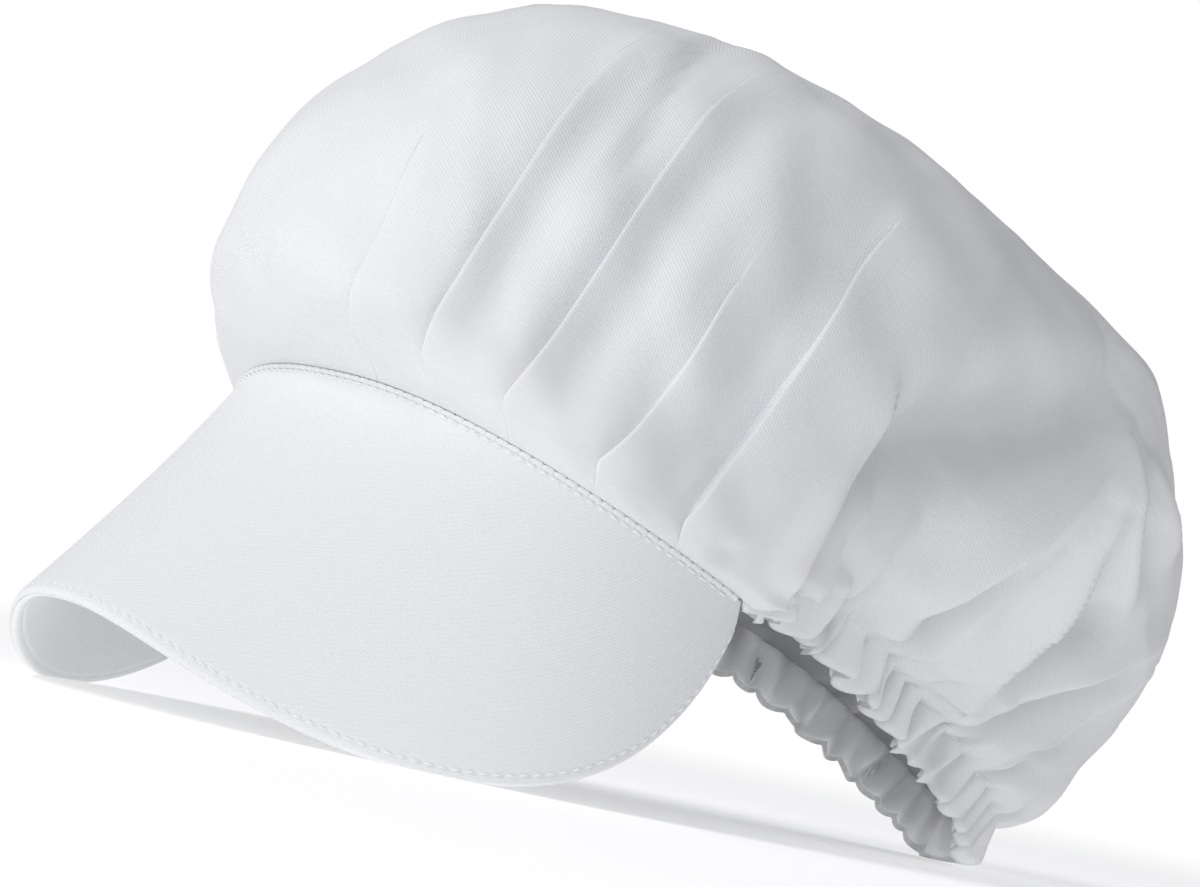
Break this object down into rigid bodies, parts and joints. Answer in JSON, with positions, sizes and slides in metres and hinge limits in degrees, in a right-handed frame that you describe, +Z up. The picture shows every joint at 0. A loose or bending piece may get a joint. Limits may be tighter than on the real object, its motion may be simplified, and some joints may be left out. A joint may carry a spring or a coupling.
{
  "type": "peaked bouffant work cap",
  "caption": "White cloth work cap with a puffed pleated crown, an arched stiff peak and an elastic hem gathered round the back.",
  "frame": {"origin": "middle of the cap in plan, on the surface it rests on", "axes": "+Z up as the cap rests, -Y towards the peak (forwards), +X towards the wearer's left"},
  "size_m": [0.1598, 0.2684, 0.1553],
  "materials": {
    "crown_cloth": "matt plain white woven cloth",
    "peak_cloth": "matt white cloth laid smooth over a stiff peak",
    "peak_lining": "matt white cloth",
    "hem_cloth": "matt white cloth gathered on elastic"
  },
  "bodies": {
    "root": {"crown": "crown_cloth", "seam_welt": "peak_cloth", "peak_top": "peak_cloth", "peak_underside": "peak_lining", "elastic_hem": "hem_cloth"}
  },
  "joints": []
}
